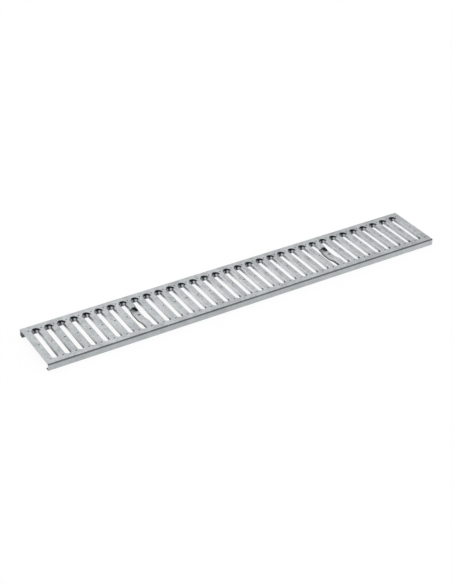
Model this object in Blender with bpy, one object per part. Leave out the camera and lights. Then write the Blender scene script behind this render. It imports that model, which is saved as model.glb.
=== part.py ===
# Channel drain grate: one galvanised steel sheet, slotted, flanged, pressed and folded.
# Metres, +Z up. X runs along the grate and Y across it; the origin is the bottom centre.

import math

import bmesh
import bpy
from mathutils import Vector
from mathutils.geometry import delaunay_2d_cdt

# Overall sizes
LENGTH = 0.996
WIDTH = 0.149
HEIGHT = 0.0168

# Sheet and folds
SHEET = 0.0015
INNER_BEND_RADIUS = 0.0010
LIP_WIDTH = 0.0112

# Drain slots, with their edges drawn down as collars that lean inward; sizes at the collar's foot
SLOT_PITCH = 0.0295
SLOT_WIDTH = 0.0110
SLOT_EDGE_MARGIN = 0.0188
COLLAR_DEPTH = 0.0075
COLLAR_LEAN_DEGREES = 18.0
END_BAR_MIN = 0.0150

# Small grip dimples on each bar
DIMPLE_DIAMETER = 0.0040
DIMPLE_DEPTH = 0.0009
DIMPLE_EDGE_DISTANCE = 0.0172
DIMPLE_OFFSET = 0.0012

# Two lock recesses, each pressed into a bar round a bolt hole with a drawn collar
LOCK_SPACING = 0.5015
LOCK_DEPTH = 0.0050
LOCK_LENGTH = 0.056
LOCK_WIDTH = 0.038
LOCK_RAMP = 0.0100
BOLT_HOLE_DIAMETER = 0.0066
BOLT_COLLAR_DEPTH = 0.0045

# Mesh fineness
SLOT_END_SEGMENTS = 6
COLLAR_BEND_SEGMENTS = 2
FOLD_SEGMENTS = 3
DIMPLE_SIDES = 6
BOLT_HOLE_SIDES = 12
RAMP_STEPS = 4

# Zinc finish
ZINC_COLOUR = (0.52, 0.54, 0.55, 1.0)
ZINC_ROUGHNESS = 0.38

# Sizes that follow from those above
BEND_RADIUS = INNER_BEND_RADIUS + SHEET
COLLAR_LEAN = math.radians(COLLAR_LEAN_DEGREES)
COLLAR_WALL_DEPTH = COLLAR_DEPTH - BEND_RADIUS * (1 - math.sin(COLLAR_LEAN))
COLLAR_REACH = BEND_RADIUS * math.cos(COLLAR_LEAN) + COLLAR_WALL_DEPTH * math.tan(COLLAR_LEAN)
SLOT_STRAIGHT = WIDTH / 2 - SLOT_EDGE_MARGIN - SLOT_WIDTH / 2
SLOT_COUNT = 1 + int((LENGTH - 2 * END_BAR_MIN - SLOT_WIDTH) / SLOT_PITCH)
BAR_COUNT = SLOT_COUNT + 1
DIMPLE_ROW = WIDTH / 2 - DIMPLE_EDGE_DISTANCE
LOCK_SPINE = (LOCK_LENGTH - LOCK_WIDTH) / 2


def slot_x(index):
    """Middle of one slot along the grate."""
    return (index - (SLOT_COUNT - 1) / 2) * SLOT_PITCH


def bar_x(index):
    """Middle of one bar; bar 0 and the last bar end the grate."""
    return slot_x(index) - SLOT_PITCH / 2


def nearest_bar(x):
    """Number of the bar that lies nearest to a place along the grate."""
    return min(range(1, BAR_COUNT - 1), key=lambda index: abs(bar_x(index) - x))


LOCK_BARS = (nearest_bar(-LOCK_SPACING / 2), nearest_bar(LOCK_SPACING / 2))


def press(x, y):
    """How far the lock recesses push the sheet down at a place."""
    depth = 0.0
    for bar in LOCK_BARS:
        reach = math.hypot(x - bar_x(bar), max(abs(y) - LOCK_SPINE, 0.0))
        t = (LOCK_WIDTH / 2 - reach) / LOCK_RAMP
        t = min(max(t, 0.0), 1.0)
        depth = max(depth, LOCK_DEPTH * t * t * (3 - 2 * t))
    return depth


def lock_levels():
    """Places across the grate where the recess needs points."""
    top = LOCK_LENGTH / 2
    ramp = [top - LOCK_RAMP * step / RAMP_STEPS for step in range(RAMP_STEPS + 1)]
    half = ramp + [(ramp[-1] + BOLT_HOLE_DIAMETER / 2) / 2]
    return [-y for y in half] + half[::-1]


def arc(centre, radius, start, turn, segments):
    """Points on an arc in its own plane."""
    points = []
    for step in range(segments + 1):
        angle = math.radians(start + turn * step / segments)
        points.append((centre[0] + radius * math.cos(angle), centre[1] + radius * math.sin(angle)))
    return points


def slot_outline(index, half_width):
    """Round-ended slot outline, counter-clockwise, with extra points beside a lock recess."""
    x = slot_x(index)
    levels = lock_levels()
    outline = arc((x, SLOT_STRAIGHT), half_width, 0, 180, SLOT_END_SEGMENTS)
    if index in LOCK_BARS:
        outline += [(x - half_width, y) for y in reversed(levels)]
    outline += arc((x, -SLOT_STRAIGHT), half_width, 180, 180, SLOT_END_SEGMENTS)
    if index + 1 in LOCK_BARS:
        outline += [(x + half_width, y) for y in levels]
    return outline


def circle(x, y, diameter, sides):
    """Regular outline of a round hole or dimple."""
    return arc((x, y), diameter / 2, 0, 360 - 360 / sides, sides - 1)


def slot_rings(index):
    """Outlines down the drawn edge of one slot, each with its depth below the plate."""
    foot = SLOT_WIDTH / 2
    turn = COLLAR_LEAN_DEGREES - 90
    bend = arc((foot + COLLAR_REACH, BEND_RADIUS), BEND_RADIUS, 270, turn, COLLAR_BEND_SEGMENTS)
    return [(slot_outline(index, half), depth) for half, depth in bend + [(foot, COLLAR_DEPTH)]]


def bolt_rings(bar):
    """Outlines at the top and the foot of a bolt hole's collar."""
    outline = circle(bar_x(bar), 0.0, BOLT_HOLE_DIAMETER, BOLT_HOLE_SIDES)
    return [(outline, 0.0), (outline, BOLT_COLLAR_DEPTH)]


def fold_profile():
    """Section of one folded side from the plate's edge to the lip, as (across, height)."""
    side = WIDTH / 2 - BEND_RADIUS
    top = arc((side, HEIGHT - BEND_RADIUS), BEND_RADIUS, 90, -90, FOLD_SEGMENTS)
    bottom = arc((side, BEND_RADIUS), BEND_RADIUS, 0, -90, FOLD_SEGMENTS)
    return top + bottom + [(WIDTH / 2 - LIP_WIDTH, 0.0)]


def dimple_places():
    """Middle of each dimple; a lock bar has its bolt hole in place of the middle one."""
    places = []
    for bar in range(BAR_COUNT):
        rows = (-DIMPLE_ROW, DIMPLE_ROW) if bar in LOCK_BARS else (-DIMPLE_ROW, 0.0, DIMPLE_ROW)
        places += [(bar_x(bar) + DIMPLE_OFFSET, y) for y in rows]
    return places


def add_loop(bm, points, depth):
    """Ring of vertices at one depth below the plate, pressed down inside the recesses."""
    return [bm.verts.new((x, y, HEIGHT - depth - press(x, y))) for x, y in points]


def add_collar(bm, rings):
    """Drawn edge of one opening, from the plate down to its free rim."""
    loops = [add_loop(bm, outline, depth) for outline, depth in rings]
    for upper, lower in zip(loops, loops[1:]):
        for a in range(len(upper)):
            b = (a + 1) % len(upper)
            bm.faces.new((upper[a], upper[b], lower[b], lower[a]))


def add_dimple(bm, place):
    """Shallow pit with its lowest point in the middle."""
    rim = add_loop(bm, circle(*place, DIMPLE_DIAMETER, DIMPLE_SIDES), 0.0)
    pit = add_loop(bm, [place], DIMPLE_DEPTH)[0]
    for a in range(len(rim)):
        bm.faces.new((rim[a], rim[(a + 1) % len(rim)], pit))


def add_plate(bm, collars):
    """Flat top between the slots, dimples and bolt holes."""
    half_x = LENGTH / 2
    half_y = WIDTH / 2 - BEND_RADIUS
    loops = [[(-half_x, -half_y), (half_x, -half_y), (half_x, half_y), (-half_x, half_y)]]
    loops += [rings[0][0] for rings in collars]
    loops += [circle(*place, DIMPLE_DIAMETER, DIMPLE_SIDES) for place in dimple_places()]
    points = [point for loop in loops for point in loop]
    faces = []
    for loop in loops:
        first = faces[-1][-1] + 1 if faces else 0
        faces.append(list(range(first, first + len(loop))))
    points += [(bar_x(bar), y) for bar in LOCK_BARS for y in lock_levels()]
    flat, _, triangles, _, _, owners = delaunay_2d_cdt([Vector(p) for p in points], [], faces, 1, 1e-7)
    verts = add_loop(bm, flat, 0.0)
    for triangle, owner in zip(triangles, owners):
        if owner == [0]:
            bm.faces.new([verts[corner] for corner in triangle])


def add_sides(bm):
    """Two folded sides with their inward lips."""
    for side in (1, -1):
        profile = fold_profile()
        ends = [[bm.verts.new((x, side * y, z)) for y, z in profile] for x in (-LENGTH / 2, LENGTH / 2)]
        start, end = ends if side > 0 else reversed(ends)
        for a in range(len(profile) - 1):
            bm.faces.new((start[a], end[a], end[a + 1], start[a + 1]))


def zinc_material():
    """Galvanised steel."""
    material = bpy.data.materials.new("galvanised_steel")
    material.use_nodes = True
    shader = material.node_tree.nodes["Principled BSDF"]
    shader.inputs["Base Color"].default_value = ZINC_COLOUR
    shader.inputs["Metallic"].default_value = 1.0
    shader.inputs["Roughness"].default_value = ZINC_ROUGHNESS
    material.diffuse_color = ZINC_COLOUR
    return material


def build_grate():
    """The whole sheet: its outer face in mesh code, then its thickness."""
    bm = bmesh.new()
    collars = [slot_rings(index) for index in range(SLOT_COUNT)]
    collars += [bolt_rings(bar) for bar in LOCK_BARS]
    add_plate(bm, collars)
    for rings in collars:
        add_collar(bm, rings)
    for place in dimple_places():
        add_dimple(bm, place)
    add_sides(bm)
    bmesh.ops.remove_doubles(bm, verts=bm.verts, dist=1e-6)
    bmesh.ops.delete(bm, geom=[v for v in bm.verts if not v.link_faces], context="VERTS")
    mesh = bpy.data.meshes.new("grate")
    bm.to_mesh(mesh)
    bm.free()
    mesh.materials.append(zinc_material())
    mesh.shade_smooth()
    mesh.set_sharp_from_angle(angle=math.radians(50))
    grate = bpy.data.objects.new("grate", mesh)
    bpy.context.collection.objects.link(grate)
    thickness = grate.modifiers.new("sheet_thickness", "SOLIDIFY")
    thickness.thickness = SHEET
    thickness.offset = -1.0
    thickness.use_even_offset = True
    thickness.use_quality_normals = True
    return grate


for old in list(bpy.data.objects):
    bpy.data.objects.remove(old, do_unlink=True)

build_grate()
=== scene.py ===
import math

import bmesh
import bpy
from mathutils import Matrix, Vector
from mathutils.geometry import delaunay_2d_cdt


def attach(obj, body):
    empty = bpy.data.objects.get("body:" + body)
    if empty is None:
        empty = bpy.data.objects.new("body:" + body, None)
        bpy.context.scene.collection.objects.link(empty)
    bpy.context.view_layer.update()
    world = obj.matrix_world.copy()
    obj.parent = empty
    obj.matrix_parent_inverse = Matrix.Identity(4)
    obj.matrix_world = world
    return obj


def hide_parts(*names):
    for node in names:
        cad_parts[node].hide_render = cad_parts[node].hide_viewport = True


# Channel drain grate: a finer mesh of the same sheet, its galvanised finish, a floor and soft light.
# Metres, +Z up. X runs along the grate and Y across it; the origin is the bottom centre.
# Left is -X, right is +X, near is -Y and far is +Y, as the camera sees them.

# Sizes of the sheet, as in the part's source
LENGTH = 0.996
WIDTH = 0.149
HEIGHT = 0.0168
SHEET = 0.0015
BEND_RADIUS = 0.0025
LIP_WIDTH = 0.0112
SLOT_COUNT = 33
SLOT_PITCH = 0.0295
SLOT_WIDTH = 0.0110
SLOT_EDGE_MARGIN = 0.0188
SLOT_STRAIGHT = WIDTH / 2 - SLOT_EDGE_MARGIN - SLOT_WIDTH / 2
COLLAR_DEPTH = 0.0075
COLLAR_LEAN = math.radians(18)
COLLAR_WALL_DEPTH = COLLAR_DEPTH - BEND_RADIUS * (1 - math.sin(COLLAR_LEAN))
COLLAR_REACH = BEND_RADIUS * math.cos(COLLAR_LEAN) + COLLAR_WALL_DEPTH * math.tan(COLLAR_LEAN)
DIMPLE_RADIUS = 0.0020
DIMPLE_DEPTH = 0.0009
DIMPLE_EDGE_DISTANCE = 0.0172
DIMPLE_ROW = WIDTH / 2 - DIMPLE_EDGE_DISTANCE
DIMPLE_OFFSET = 0.0012
LOCK_BARS = (8, 25)
LOCK_DEPTH = 0.0050
LOCK_LENGTH = 0.056
LOCK_WIDTH = 0.038
LOCK_RAMP = 0.0100
LOCK_SPINE = (LOCK_LENGTH - LOCK_WIDTH) / 2
BOLT_HOLE_RADIUS = 0.0033
BOLT_COLLAR_DEPTH = 0.0045

# The collars beside a lock recess sink more gently than the bar between them
LOCK_EDGE_END = 0.0370
LOCK_EDGE_RAMP = 0.0290
LOCK_EDGE_SIDE = (0.0030, 0.0030)

# Fineness of this mesh
SLOT_END_SEGMENTS = 22
COLLAR_BEND_SEGMENTS = 5
WALL_STEPS = 3
FOLD_SEGMENTS = 8
DIMPLE_SIDES = 16
DIMPLE_RINGS = 3
BOLT_HOLE_SIDES = 32
RECESS_STEP = 0.0016
RECESS_COLUMNS = (-0.66, -0.33, 0.0, 0.33, 0.66)
EDGE_ROUNDING = 0.00022
WELD_DISTANCE = 1e-6
PLATE_TOLERANCE = 1e-7

# Painted shade, painted dark reflections and painted highlights, fitted to the picture, lie on the
# vertices in one layer: 1 is near black, 0 plain and -1 bright.
# A pair of lengths is the place where a change starts and how far it runs, in metres.
# X counts from the middle of a slot or lock bar, Y from the grate's middle, and depth from the plate down.

# Far end of each slot: painted dark reflection on the bend, and below it painted shade on the wall,
# darkest in the middle, with a painted highlight on the right
HEAD_REACH_RIGHT = (SLOT_STRAIGHT - 0.0048, 0.0045)
HEAD_REACH_LEFT = (SLOT_STRAIGHT, 0.0040)
HEAD_BEND = (-0.0062, 0.0036)
HEAD_WALL = (0.0020, 0.0014)
HEAD_WALL_RISE = 0.0009
HEAD_WALL_RISE_SIDE = (0.0045, 0.0025)
HEAD_LEFT = 0.10
HEAD_MIDDLE_SIDE = (-0.0030, 0.0020)
HEAD_MIDDLE_SHIFT = 0.0016
HEAD_FADE = 0.12
HEAD_FADE_DEPTH = (0.0030, 0.0025)
HEAD_BRIGHT_SIDE = (0.0023, 0.0017)
HEAD_BRIGHT_SHIFT = 0.0018
HEAD_LIP = 0.75
HEAD_LIP_DEPTH = (0.0052, 0.0015)
HEAD_LIP_SIDE = (0.0010, 0.0030)

# Flat skirt round each slot, where its painted shade and highlight fade out: share of its width, then of
# the tone left and right
SKIRT = 0.0026
LOCK_SKIRT = 0.0016
SKIRT_STEPS = ((1.0, 0.0, 0.0), (0.6, 0.0, 0.6), (0.3, 0.65, 0.95))
SKIRT_SIDE = (-0.0030, 0.0060)

# Long sides of each slot: a painted shade line along the foot, weaker from slot to slot and gone at slot
# 27; painted shade also beside a lock bar and as a dot near the near end
FOOT_LINE = 0.80
FOOT_LINE_SLOTS = 27
FOOT_START = 0.0038
FOOT_RUN = 0.0022
LOCK_LINE = 0.92
LOCK_LINE_END = (0.0170, 0.0060)
NEAR_DOT = 0.78
NEAR_DOT_START = (SLOT_STRAIGHT - 0.0070, 0.0030)

# The line starts higher by these shares: at the near dots, in the first slots and left of a lock bar
NEAR_DOT_RISE = 0.5
FIRST_SLOTS_RISE = 0.45
FIRST_SLOTS = 4
LOCK_RISE = 0.2

# The walls above it carry a painted highlight, strongest in slots 14 to 16
WALL_HIGHLIGHT = 0.80
HIGHLIGHT_RUN = 0.0015
HIGHLIGHT_FIRST_SHARE = 0.45
HIGHLIGHT_LAST_LOSS = 0.65
HIGHLIGHT_MOST_FROM = 14
HIGHLIGHT_MOST_TO = 16

# The right wall renders too dark beside the far end, so its painted highlight is stronger there
SHADED_START = (SLOT_STRAIGHT - 0.0260, 0.0110)
SHADED_HIGHLIGHT = 0.85
SHADED_DEPTH = (0.0020, 0.0020)
SHADED_LINE_LOSS = 0.5

# Extra points of a slot's outline short of its round ends, as shares of a run, to carry these tones
TONE_RUN = 0.0100
TONE_SHARES = (0.4, 0.7, 1.0)

# Far end of each lock recess: painted shade with a core on the right and an arm that fades to the left
MARK_HALF_WIDTH = 0.0130
MARK_NEAR_END = 0.0060
MARK_FAR_END = 0.0272
MARK_FAR_RUN = 0.0022
MARK_ROUNDING = 9000.0
MARK_SHIFT = 0.0010
MARK_SLANT = 1.3
MARK_FAINTEST = 0.05
CORE_NEAR_X = 0.0032
CORE_FAR_X = 0.0006
CORE_TURN = (0.0180, 0.0060)
CORE_SIDE = (0.0027, 0.0022)
CORE_NEAR_END = (0.0120, 0.0035)
ARM_FAR = 0.95
ARM_FAR_START = (0.0195, 0.0035)
ARM_NEAR = 0.62
ARM_NEAR_LEFT = 0.35
ARM_LEFT_SIDE = (0.0020, 0.0040)
ARM_NEAR_END = (0.0075, 0.0110)
ARM_RIGHT_RUN = 0.0025

# Painted dark reflection on the top folds, and painted shade on the upright sides, the cut ends of the
# lips, in the dimples and down the bolt hole collars
FOLD_TONE = 0.70
FOLD_FADE = 0.3 * BEND_RADIUS
SIDE_TONE = 0.145
SIDE_TONE_RIGHT = 0.05
SIDE_TURN_X = 0.12
LIP_END_TONE = 0.95
LIP_END_RUN = 0.0015
LEVEL_TOLERANCE = 0.01 * BEND_RADIUS
DIMPLE_TONE_RATE = 2.2
PIT_TONE = 1.0
BOLT_COLLAR_STEPS = ((0.0, 0.0), (0.0004, 0.5), (BOLT_COLLAR_DEPTH, 0.7))

# Zinc colours, the near black of the painted shade, the colour of the painted highlight, and the ramps
# that vary them; a stop is a place from 0 to 1 with a grey or a colour
NEAR_BLACK = (0.014, 0.014, 0.015, 1.0)
PAINTED_HIGHLIGHT_COLOUR = (0.93, 0.95, 0.96, 1.0)
EVEN_ZINC = (0.500, 0.526, 0.537, 1.0)
CLOUD_STOPS = ((0.36, (0.438, 0.462, 0.473)), (0.64, (0.576, 0.603, 0.615)))
CRYSTAL_STOPS = ((0.0, 0.80), (1.0, 1.14))
GRAIN_STOPS = ((0.3, 0.94), (0.7, 1.05))
ROUGHNESS_STOPS = ((0.3, 0.26), (0.7, 0.36))

# The pattern is full at the plate and calmer below it, between these heights
PATTERN_LOW = 0.0148
PATTERN_HIGH = 0.0163
PATTERN_BELOW = 0.45

# The floor lies just under the sheet, so that the two don't share a plane
FLOOR_GAP = 0.0002
FLOOR_HALF = 12.0
FLOOR_GLOW = 0.91

# Brightness of the studio in reflections, from level (0) to overhead (1) and from left (0) to right (1)
WHITE = (1.0, 1.0, 1.0, 1.0)
STUDIO_HEIGHT_STOPS = ((0.0, 1.0), (0.78, 1.0), (0.87, 0.55), (0.96, 0.55), (0.985, 0.80))
STUDIO_SIDE_STOPS = ((0.0, 1.0), (0.64, 1.0), (0.75, 0.865), (0.80, 0.74), (1.0, 0.45))

# Camera, fitted to the picture: place from the middle of the plate, axes, and focal length in pixels
FRAME_LONG_SIDE = 584
FOCAL_PIXELS = 1247.05
CAMERA_PLACE = (-1.2356, -2.0266, 1.5160)
CAMERA_RIGHT = (0.860292, -0.509798, 0.002112)
CAMERA_DOWN = (-0.276553, -0.470160, -0.838134)
CAMERA_FORWARD = (0.428272, 0.720456, -0.545460)
SENSOR = 36.0
CLIP_START = 0.05
CLIP_END = 60.0


def smooth(t):
    """Eased step from 0 to 1."""
    t = min(max(t, 0.0), 1.0)
    return t * t * (3 - 2 * t)


def step(value, start, run):
    """Eased step from 0 to 1 as a value passes a start and the run after it."""
    return smooth((value - start) / run)


def mix(a, b, share):
    """Number part of the way from one to another."""
    return a + (b - a) * share


def bar_x(bar):
    """Middle of one bar; bar 0 and the last bar end the grate."""
    return (bar - SLOT_COUNT / 2) * SLOT_PITCH


def slot_x(index):
    """Middle of one slot along the grate."""
    return bar_x(index) + SLOT_PITCH / 2


def press(x, y):
    """How far the lock recesses push the sheet down at a place."""
    depth = 0.0
    for bar in LOCK_BARS:
        aside = abs(x - bar_x(bar))
        reach = math.hypot(aside, max(abs(y) - LOCK_SPINE, 0.0))
        middle = smooth((LOCK_WIDTH / 2 - reach) / LOCK_RAMP)
        edge = smooth((LOCK_EDGE_END - abs(y)) / LOCK_EDGE_RAMP)
        edge *= smooth((LOCK_WIDTH / 2 - aside) / LOCK_RAMP)
        depth = max(depth, LOCK_DEPTH * mix(middle, edge, step(aside, *LOCK_EDGE_SIDE)))
    return depth


def recess_levels():
    """Places across the grate where the recesses need points."""
    count = int(2 * LOCK_EDGE_END / RECESS_STEP)
    return [LOCK_EDGE_END * (2 * number / count - 1.0) for number in range(count + 1)]


def arc(centre, radius, start, turn, segments):
    """Points on an arc in its own plane."""
    angles = [math.radians(start + turn * number / segments) for number in range(segments + 1)]
    return [(centre[0] + radius * math.cos(a), centre[1] + radius * math.sin(a)) for a in angles]


def circle(place, radius, sides):
    """Points round a circle."""
    return arc(place, radius, 0, 360 - 360 / sides, sides - 1)


def slot_outline(index, half_width):
    """Round-ended slot outline, counter-clockwise, with extra points beside a lock recess."""
    x = slot_x(index)
    ends = [SLOT_STRAIGHT - TONE_RUN * share for share in TONE_SHARES]
    low = [-y for y in ends]
    left = recess_levels() if index in LOCK_BARS else []
    right = recess_levels() if index + 1 in LOCK_BARS else []
    outline = arc((x, SLOT_STRAIGHT), half_width, 0, 180, SLOT_END_SEGMENTS)
    outline += [(x - half_width, y) for y in ends + left[::-1] + low[::-1]]
    outline += arc((x, -SLOT_STRAIGHT), half_width, 180, 180, SLOT_END_SEGMENTS)
    outline += [(x + half_width, y) for y in low + right + ends[::-1]]
    return outline


def slot_section(index):
    """Section of one slot's drawn edge from its skirt to its foot, as (half width, depth)."""
    foot = SLOT_WIDTH / 2
    turn = math.degrees(COLLAR_LEAN) - 90
    skirt = LOCK_SKIRT if index in LOCK_BARS or index + 1 in LOCK_BARS else SKIRT
    section = [(foot + COLLAR_REACH + skirt * share, 0.0) for share, _, _ in SKIRT_STEPS]
    section += arc((foot + COLLAR_REACH, BEND_RADIUS), BEND_RADIUS, 270, turn, COLLAR_BEND_SEGMENTS)
    half_width, depth = section[-1]
    for number in range(1, WALL_STEPS + 1):
        share = number / WALL_STEPS
        section.append((mix(half_width, foot, share), mix(depth, COLLAR_DEPTH, share)))
    return section


def slot_rings(index):
    """Outlines down the drawn edge of one slot, each with its depth below the plate and its painted shade
    and highlight.
    """
    rings = []
    for number, (half_width, depth) in enumerate(slot_section(index)):
        outline = slot_outline(index, half_width)
        _, left, right = SKIRT_STEPS[number] if number < len(SKIRT_STEPS) else (0.0, 1.0, 1.0)
        tones = []
        for x, y in outline:
            aside = x - slot_x(index)
            share = mix(left, right, step(aside, *SKIRT_SIDE))
            tones.append(share * slot_tone(aside, y, depth, index))
        rings.append((outline, depth, tones))
    return rings


def slot_tone(aside, y, depth, index):
    """Painted shade and highlight at a place on one slot's drawn edge, where that of its long sides turns
    into its far end's.
    """
    reach = HEAD_REACH_RIGHT if aside > 0 else HEAD_REACH_LEFT
    return mix(side_tone(aside, y, depth, index), head_tone(aside, depth, index), step(y, *reach))


def side_tone(aside, y, depth, index):
    """Painted light down the long sides of one slot: a painted highlight on the walls and painted shade
    along the foot.
    """
    near = step(-y, *NEAR_DOT_START) if aside > 0 else 0.0
    shaded = step(y, *SHADED_START) if aside > 0 else 0.0
    line = max(FOOT_LINE * (1.0 - index / FOOT_LINE_SLOTS), 0.0)
    rise = max(NEAR_DOT_RISE * near, FIRST_SLOTS_RISE * (1.0 - index / FIRST_SLOTS))
    if index + 1 in LOCK_BARS:
        line = mix(LOCK_LINE, line, step(y, *LOCK_LINE_END))
        rise = max(rise, LOCK_RISE)
    line = mix(line, NEAR_DOT, near) * (1.0 - SHADED_LINE_LOSS * shaded)
    foot = step(depth, FOOT_START * (1.0 - rise), FOOT_RUN)
    highlight = wall_highlight(index) + SHADED_HIGHLIGHT * shaded * step(depth, *SHADED_DEPTH)
    return (1.0 + highlight) * line * foot - highlight * step(depth, 0.0, HIGHLIGHT_RUN)


def wall_highlight(index):
    """How strong the painted highlight on one slot's walls is."""
    gained = (1.0 - HIGHLIGHT_FIRST_SHARE) * min(index / HIGHLIGHT_MOST_FROM, 1.0)
    lost = HIGHLIGHT_LAST_LOSS * max(index - HIGHLIGHT_MOST_TO, 0) / (SLOT_COUNT - 1 - HIGHLIGHT_MOST_TO)
    return WALL_HIGHLIGHT * (HIGHLIGHT_FIRST_SHARE + gained - lost)


def head_tone(aside, depth, index):
    """Painted dark reflection and shade round the far end of one slot, from its bend down to the lip at
    its foot, with a painted highlight on the right.
    """
    along = index / (SLOT_COUNT - 1)
    middle = 1.0 - HEAD_FADE * step(depth, *HEAD_FADE_DEPTH)
    wall = mix(HEAD_LEFT, middle, step(aside - HEAD_MIDDLE_SHIFT * along, *HEAD_MIDDLE_SIDE))
    wall -= (1.0 + middle) * step(aside - HEAD_BRIGHT_SHIFT * along, *HEAD_BRIGHT_SIDE)
    lip = step(depth, *HEAD_LIP_DEPTH) * (1.0 - step(aside, *HEAD_LIP_SIDE))
    wall = mix(wall, HEAD_LIP, lip)
    below = step(depth + HEAD_WALL_RISE * step(aside, *HEAD_WALL_RISE_SIDE), *HEAD_WALL)
    return mix(step(aside, *HEAD_BEND), wall, below)


def recess_tone(x, y, depth):
    """Painted shade at the far end of a lock recess, or 0; it slants down the collar's wall."""
    y -= MARK_SLANT * depth
    for bar in LOCK_BARS:
        aside = x - bar_x(bar)
        if abs(aside) > MARK_HALF_WIDTH or y < MARK_NEAR_END:
            continue
        far_end = MARK_FAR_END - MARK_ROUNDING * abs(aside + MARK_SHIFT) ** 3
        middle = mix(CORE_NEAR_X, CORE_FAR_X, step(y, *CORE_TURN))
        core = (1.0 - step(abs(aside - middle), *CORE_SIDE)) * step(y, *CORE_NEAR_END)
        near = mix(ARM_NEAR, ARM_NEAR_LEFT, step(-aside, *ARM_LEFT_SIDE))
        arm = mix(near, ARM_FAR, step(y, *ARM_FAR_START)) * step(y, *ARM_NEAR_END)
        arm *= 1.0 - step(aside, middle, ARM_RIGHT_RUN)
        return smooth((far_end - y) / MARK_FAR_RUN) * max(core, arm)
    return 0.0


def bolt_rings(bar):
    """Outlines down the collar of one bolt hole."""
    outline = circle((bar_x(bar), 0.0), BOLT_HOLE_RADIUS, BOLT_HOLE_SIDES)
    # Painted shade, darker further down the collar
    return [(outline, depth, [tone] * BOLT_HOLE_SIDES) for depth, tone in BOLT_COLLAR_STEPS]


def dimple_rings(place):
    """Outlines down one shallow round dimple, without its lowest point."""
    rings = []
    for number in range(DIMPLE_RINGS):
        share = 1 - number / DIMPLE_RINGS
        outline = circle(place, DIMPLE_RADIUS * share, DIMPLE_SIDES)
        # Painted shade, darker toward the dimple's middle
        tones = [DIMPLE_TONE_RATE * (1.0 - share)] * DIMPLE_SIDES
        rings.append((outline, DIMPLE_DEPTH * (1 - share * share), tones))
    return rings


def dimple_places():
    """Middle of each dimple; a lock bar has its bolt hole in place of the middle one."""
    places = []
    for bar in range(SLOT_COUNT + 1):
        rows = (-DIMPLE_ROW, DIMPLE_ROW) if bar in LOCK_BARS else (-DIMPLE_ROW, 0.0, DIMPLE_ROW)
        places += [(bar_x(bar) + DIMPLE_OFFSET, y) for y in rows]
    return places


def add_loop(bm, points, depth, tones=None):
    """Ring of vertices at one depth below the plate, pressed down inside the recesses."""
    layer = bm.verts.layers.float["painted_shade_and_highlight"]
    loop = []
    for number, (x, y) in enumerate(points):
        vert = bm.verts.new((x, y, HEIGHT - depth - press(x, y)))
        own = tones[number] if tones else 0.0
        # The recess's painted shade wins where it is stronger than the ring's own
        mark = recess_tone(x, y, depth)
        vert[layer] = max(own, mark) if mark > MARK_FAINTEST else own
        loop.append(vert)
    return loop


def add_rings(bm, rings):
    """Band of faces through rings of equal count; gives back the last ring."""
    loops = [add_loop(bm, outline, depth, tones) for outline, depth, tones in rings]
    for upper, lower in zip(loops, loops[1:]):
        for a in range(len(upper)):
            b = (a + 1) % len(upper)
            bm.faces.new((upper[a], upper[b], lower[b], lower[a]))
    return loops[-1]


def add_dimple(bm, place):
    """One dimple, closed by its lowest point."""
    last = add_rings(bm, dimple_rings(place))
    pit = add_loop(bm, [place], DIMPLE_DEPTH, [PIT_TONE])[0]
    for a in range(len(last)):
        bm.faces.new((last[a], last[(a + 1) % len(last)], pit))


def recess_points():
    """Points inside the lock bars, so that the pressed recesses curve smoothly."""
    flat_half = (SLOT_PITCH - SLOT_WIDTH) / 2 - COLLAR_REACH
    points = []
    for bar in LOCK_BARS:
        for y in recess_levels():
            for share in RECESS_COLUMNS:
                if math.hypot(share * flat_half, y) > BOLT_HOLE_RADIUS + RECESS_STEP / 2:
                    points.append((bar_x(bar) + share * flat_half, y))
    return points


def add_plate(bm, openings):
    """Flat top between the openings and the dimples."""
    half_x = LENGTH / 2
    half_y = WIDTH / 2 - BEND_RADIUS
    loops = [[(-half_x, -half_y), (half_x, -half_y), (half_x, half_y), (-half_x, half_y)]]
    loops += [rings[0][0] for rings in openings]
    loops += [dimple_rings(place)[0][0] for place in dimple_places()]
    points = [Vector(point) for loop in loops for point in loop]
    faces = []
    for loop in loops:
        first = faces[-1][-1] + 1 if faces else 0
        faces.append(list(range(first, first + len(loop))))
    points += [Vector(point) for point in recess_points()]
    flat, _, triangles, _, _, owners = delaunay_2d_cdt(points, [], faces, 1, PLATE_TOLERANCE)
    verts = add_loop(bm, flat, 0.0)
    for triangle, owner in zip(triangles, owners):
        if owner == [0]:
            bm.faces.new([verts[corner] for corner in triangle])


def fold_section():
    """Section of one folded side from the plate's edge to the lip, as (across, height)."""
    side_y = WIDTH / 2 - BEND_RADIUS
    section = arc((side_y, HEIGHT - BEND_RADIUS), BEND_RADIUS, 90, -90, FOLD_SEGMENTS)
    section.append((WIDTH / 2, HEIGHT - BEND_RADIUS - FOLD_FADE))
    section += arc((side_y, BEND_RADIUS), BEND_RADIUS, 0, -90, FOLD_SEGMENTS)
    section.append((WIDTH / 2 - LIP_WIDTH, 0.0))
    return section


def fold_tone(x, z):
    """Painted light on a folded side: painted dark reflection on the top fold, painted shade on the lip's
    cut ends, and slightly darker elsewhere.
    """
    depth = HEIGHT - z
    if abs(x) == LENGTH / 2 and z < BEND_RADIUS / 2:
        return LIP_END_TONE
    if depth < LEVEL_TOLERANCE:
        return 0.0
    if depth < BEND_RADIUS + LEVEL_TOLERANCE:
        return FOLD_TONE
    return SIDE_TONE if x <= SIDE_TURN_X else SIDE_TONE_RIGHT


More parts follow.
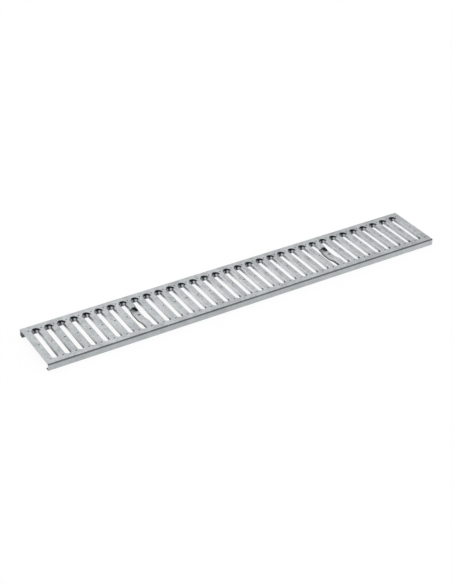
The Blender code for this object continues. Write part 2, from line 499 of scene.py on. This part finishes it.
def add_sides(bm):
    """Two folded sides with their inward lips."""
    section = fold_section()
    layer = bm.verts.layers.float["painted_shade_and_highlight"]
    half = LENGTH / 2
    for side in (1, -1):
        columns = []
        for x in (-half, LIP_END_RUN - half, SIDE_TURN_X, half - LIP_END_RUN, half):
            columns.append([bm.verts.new((x, side * y, z)) for y, z in section])
            for vert in columns[-1]:
                vert[layer] = fold_tone(x, vert.co.z)
        for start, end in zip(columns, columns[1:]):
            start, end = (start, end) if side > 0 else (end, start)
            for a in range(len(section) - 1):
                bm.faces.new((start[a], end[a], end[a + 1], start[a + 1]))


def build_sheet():
    """The sheet as one closed mesh: its outer face, then its thickness and softened cut edges."""
    bm = bmesh.new()
    # Layer of painted shade and painted highlight on each vertex
    bm.verts.layers.float.new("painted_shade_and_highlight")
    openings = [slot_rings(index) for index in range(SLOT_COUNT)]
    openings += [bolt_rings(bar) for bar in LOCK_BARS]
    add_plate(bm, openings)
    for rings in openings:
        add_rings(bm, rings)
    for place in dimple_places():
        add_dimple(bm, place)
    add_sides(bm)
    bmesh.ops.remove_doubles(bm, verts=bm.verts, dist=WELD_DISTANCE)
    bmesh.ops.delete(bm, geom=[v for v in bm.verts if not v.link_faces], context="VERTS")
    mesh = bpy.data.meshes.new("galvanised_sheet")
    bm.to_mesh(mesh)
    bm.free()
    mesh.shade_smooth()
    sheet = bpy.data.objects.new("galvanised_sheet", mesh)
    bpy.context.scene.collection.objects.link(sheet)
    thickness = sheet.modifiers.new("thickness", "SOLIDIFY")
    thickness.thickness = SHEET
    thickness.offset = -1.0
    thickness.use_even_offset = True
    thickness.use_quality_normals = True
    rounding = sheet.modifiers.new("softened_edges", "BEVEL")
    rounding.width = EDGE_ROUNDING
    rounding.segments = 2
    rounding.limit_method = "ANGLE"
    rounding.angle_limit = math.radians(60)
    shading = sheet.modifiers.new("even_shading", "WEIGHTED_NORMAL")
    shading.weight = 60
    return sheet


def plug(tree, socket, value):
    """Gives one input its value: a number, a colour, or another node's output."""
    if isinstance(value, bpy.types.NodeSocket):
        tree.links.new(value, socket)
    else:
        socket.default_value = value


def node(tree, kind, **inputs):
    """One shader node with some of its inputs given."""
    made = tree.nodes.new(kind)
    for name, value in inputs.items():
        plug(tree, made.inputs[name.replace("_", " ")], value)
    return made


def noise(tree, place, scale, detail, roughness):
    """Noise between 0 and 1 at each place."""
    made = node(tree, "ShaderNodeTexNoise", Vector=place, Scale=scale, Detail=detail, Roughness=roughness)
    return made.outputs["Fac"]


def ramp(tree, source, stops):
    """Colour ramp from a value; each stop is a place and a grey or a colour."""
    made = node(tree, "ShaderNodeValToRGB", Fac=source)
    elements = made.color_ramp.elements
    while len(elements) < len(stops):
        elements.new(0.5)
    for element, (place, colour) in zip(elements, stops):
        element.position = place
        element.color = (colour, colour, colour, 1.0) if isinstance(colour, float) else (*colour, 1.0)
    return made.outputs["Color"]


def mix_colours(tree, share, first, second, blend="MIX"):
    """Mix of two colours; it starts as the first and takes on the second by a share."""
    made = tree.nodes.new("ShaderNodeMix")
    made.data_type = "RGBA"
    made.blend_type = blend
    plug(tree, made.inputs["Factor"], share)
    plug(tree, made.inputs["A"], first)
    plug(tree, made.inputs["B"], second)
    return made.outputs["Result"]


def multiply_colours(tree, first, second):
    """Product of two colours."""
    return mix_colours(tree, 1.0, first, second, "MULTIPLY")


def mix_shaders(tree, share, first, second):
    """Mix of two shaders."""
    made = tree.nodes.new("ShaderNodeMixShader")
    for socket, value in zip(made.inputs, (share, first, second)):
        plug(tree, socket, value)
    return made.outputs["Shader"]


def calculate(tree, operation, first, second):
    """Result of one operation on two numbers."""
    made = tree.nodes.new("ShaderNodeMath")
    made.operation = operation
    plug(tree, made.inputs[0], first)
    plug(tree, made.inputs[1], second)
    return made.outputs[0]


def galvanised_material():
    """Zinc coat: cloudy grey with a faint crystal pattern, made darker by painted shade and brighter by
    painted highlights, by place.
    """
    material = bpy.data.materials.new("galvanised_zinc")
    material.use_nodes = True
    tree = material.node_tree
    shader = tree.nodes["Principled BSDF"]
    place = tree.nodes.new("ShaderNodeTexCoord").outputs["Object"]
    clouds = noise(tree, place, scale=38.0, detail=4.0, roughness=0.6)
    grain = noise(tree, place, scale=900.0, detail=3.0, roughness=0.7)
    crystals = node(tree, "ShaderNodeTexVoronoi", Vector=place, Scale=210.0).outputs["Color"]
    crystals = node(tree, "ShaderNodeHueSaturation", Saturation=0.0, Color=crystals).outputs["Color"]
    height = node(tree, "ShaderNodeSeparateXYZ", Vector=place).outputs["Z"]
    strength = node(tree, "ShaderNodeMapRange", Value=height, From_Min=PATTERN_LOW, From_Max=PATTERN_HIGH)
    strength.inputs["To Min"].default_value = PATTERN_BELOW
    tone = tree.nodes.new("ShaderNodeAttribute")
    tone.attribute_name = "painted_shade_and_highlight"
    painted_shade_and_highlight = tone.outputs["Fac"]
    painted_highlight = calculate(tree, "MULTIPLY", painted_shade_and_highlight, -1.0)
    colour = multiply_colours(tree, ramp(tree, clouds, CLOUD_STOPS), ramp(tree, crystals, CRYSTAL_STOPS))
    colour = multiply_colours(tree, colour, ramp(tree, grain, GRAIN_STOPS))
    colour = mix_colours(tree, strength.outputs["Result"], EVEN_ZINC, colour)
    # Painted shade and dark reflections pull the colour toward near black, painted highlights toward the
    # bright colour
    colour = mix_colours(tree, painted_shade_and_highlight, colour, NEAR_BLACK)
    colour = mix_colours(tree, painted_highlight, colour, PAINTED_HIGHLIGHT_COLOUR)
    bump = node(tree, "ShaderNodeBump", Strength=0.12, Distance=0.0003, Height=grain)
    plug(tree, shader.inputs["Base Color"], colour)
    plug(tree, shader.inputs["Roughness"], ramp(tree, clouds, ROUGHNESS_STOPS))
    plug(tree, shader.inputs["Normal"], bump.outputs["Normal"])
    plug(tree, shader.inputs["Metallic"], 1.0)
    return material


def floor_material():
    """White that mostly glows for the camera and reflections, takes a shadow, and is clear from below."""
    material = bpy.data.materials.new("floor_white")
    material.use_nodes = True
    tree = material.node_tree
    tree.nodes.clear()
    matt = node(tree, "ShaderNodeBsdfDiffuse", Color=WHITE)
    glow = node(tree, "ShaderNodeEmission", Color=WHITE, Strength=1.0)
    clear = tree.nodes.new("ShaderNodeBsdfTransparent")
    rays = tree.nodes.new("ShaderNodeLightPath").outputs
    below = tree.nodes.new("ShaderNodeNewGeometry").outputs["Backfacing"]
    seen = calculate(tree, "MAXIMUM", rays["Is Camera Ray"], rays["Is Glossy Ray"])
    seen = calculate(tree, "MAXIMUM", seen, rays["Is Transmission Ray"])
    share = calculate(tree, "MULTIPLY", seen, FLOOR_GLOW)
    above = mix_shaders(tree, share, matt.outputs["BSDF"], glow.outputs["Emission"])
    one_sided = mix_shaders(tree, below, above, clear.outputs["BSDF"])
    node(tree, "ShaderNodeOutputMaterial", Surface=one_sided)
    return material


def make_floor():
    """White floor that takes the grate's shadow."""
    mesh = bpy.data.meshes.new("floor")
    half = FLOOR_HALF
    corners = [(-half, -half), (half, -half), (half, half), (-half, half)]
    mesh.from_pydata([(x, y, -FLOOR_GAP) for x, y in corners], [], [(0, 1, 2, 3)])
    floor = bpy.data.objects.new("floor", mesh)
    bpy.context.scene.collection.objects.link(floor)
    mesh.materials.append(floor_material())


def make_world():
    """White studio; in reflections it is dimmer above about fifty degrees and toward the right."""
    world = bpy.data.worlds.new("studio")
    bpy.context.scene.world = world
    world.use_nodes = True
    tree = world.node_tree
    background = tree.nodes["Background"]
    direction = tree.nodes.new("ShaderNodeTexCoord").outputs["Generated"]
    axes = node(tree, "ShaderNodeSeparateXYZ", Vector=direction).outputs
    rightward = node(tree, "ShaderNodeMapRange", Value=axes["X"], From_Min=-1.0, From_Max=1.0)
    height_light = ramp(tree, axes["Z"], STUDIO_HEIGHT_STOPS)
    side_light = ramp(tree, rightward.outputs["Result"], STUDIO_SIDE_STOPS)
    reflected = multiply_colours(tree, height_light, side_light)
    glossy = tree.nodes.new("ShaderNodeLightPath").outputs["Is Glossy Ray"]
    plug(tree, background.inputs["Color"], mix_colours(tree, glossy, WHITE, reflected))
    plug(tree, background.inputs["Strength"], 1.0)


def make_camera():
    """Camera at the picture's angle."""
    data = bpy.data.cameras.new("camera")
    camera = bpy.data.objects.new("camera", data)
    bpy.context.scene.collection.objects.link(camera)
    place = Vector(CAMERA_PLACE) + Vector((0, 0, HEIGHT))
    axes = Matrix((Vector(CAMERA_RIGHT), -Vector(CAMERA_DOWN), -Vector(CAMERA_FORWARD)))
    camera.matrix_world = Matrix.Translation(place) @ axes.transposed().to_4x4()
    data.sensor_width = SENSOR
    data.lens = SENSOR * FOCAL_PIXELS / FRAME_LONG_SIDE
    data.clip_start = CLIP_START
    data.clip_end = CLIP_END
    bpy.context.scene.camera = camera


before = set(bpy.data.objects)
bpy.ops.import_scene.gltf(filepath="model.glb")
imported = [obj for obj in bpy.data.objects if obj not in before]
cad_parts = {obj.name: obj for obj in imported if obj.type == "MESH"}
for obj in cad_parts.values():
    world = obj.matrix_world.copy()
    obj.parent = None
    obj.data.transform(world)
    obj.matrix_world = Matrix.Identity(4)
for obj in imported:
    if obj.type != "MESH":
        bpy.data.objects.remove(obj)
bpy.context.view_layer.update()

sheet = build_sheet()
sheet.data.materials.append(galvanised_material())
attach(sheet, "root")
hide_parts("grate")

make_floor()
make_world()
make_camera()
bpy.context.scene.view_settings.view_transform = "Standard"
